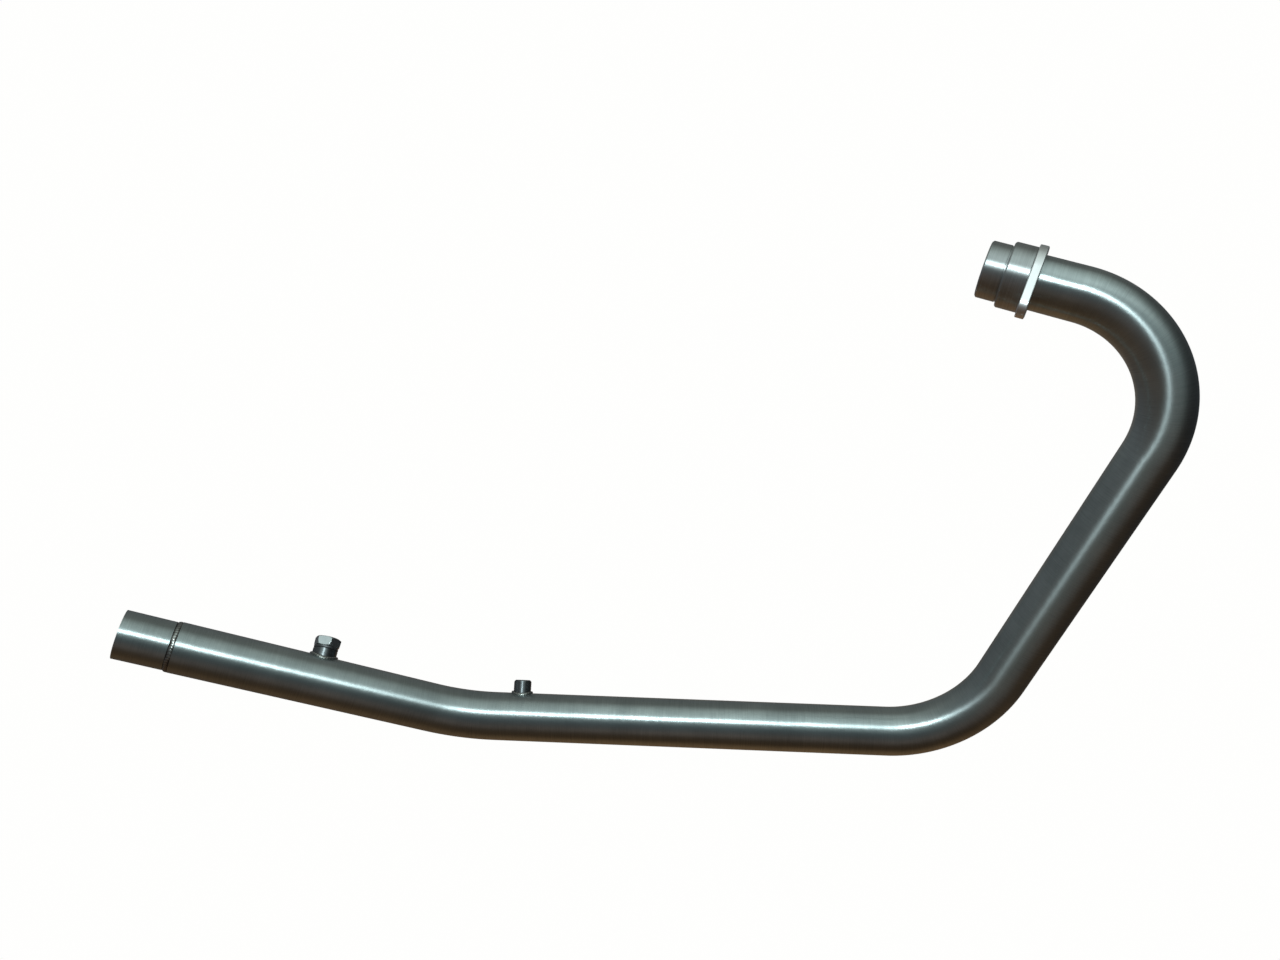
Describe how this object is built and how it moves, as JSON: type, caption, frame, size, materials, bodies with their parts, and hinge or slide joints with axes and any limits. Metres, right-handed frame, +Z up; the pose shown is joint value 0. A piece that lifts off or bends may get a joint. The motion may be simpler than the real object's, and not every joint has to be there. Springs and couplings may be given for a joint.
{
  "type": "motorcycle exhaust header",
  "caption": "Bent stainless exhaust header pipe for a motorcycle, with a port collar, a loose bolted flange, a plugged sensor boss, a tapped bracket boss and a slip-in outlet.",
  "frame": {"origin": "centre of the port spigot's mouth", "axes": "+X forward along the lower run, +Y inboard, +Z up as fitted to the motorcycle"},
  "size_m": [0.8833, 0.1778, 0.4632],
  "materials": {
    "brushed_stainless": "brushed",
    "turned_stainless": "turned",
    "weld_stainless": "as welded",
    "flange_steel": "plated satin",
    "plug_steel": "plated",
    "washer_aluminium": "satin"
  },
  "bodies": {
    "header": {"header_pipe": "brushed_stainless", "port_collar": "turned_stainless", "collar_weld": "weld_stainless", "outlet_sleeve": "brushed_stainless", "outlet_weld": "weld_stainless", "sensor_bung": "turned_stainless", "bung_weld": "weld_stainless", "plug_washer": "washer_aluminium", "sensor_plug": "plug_steel", "bracket_boss": "turned_stainless", "boss_weld": "weld_stainless"},
    "flange": {"port_flange": "flange_steel"}
  },
  "joints": [
    {"name": "flange_spin", "type": "hinge", "parent": "header", "child": "flange", "pos_m": [0.03544, -0.0143, -0.0061], "axis": [0.9158, -0.3695, -0.1577], "continuous": true}
  ]
}
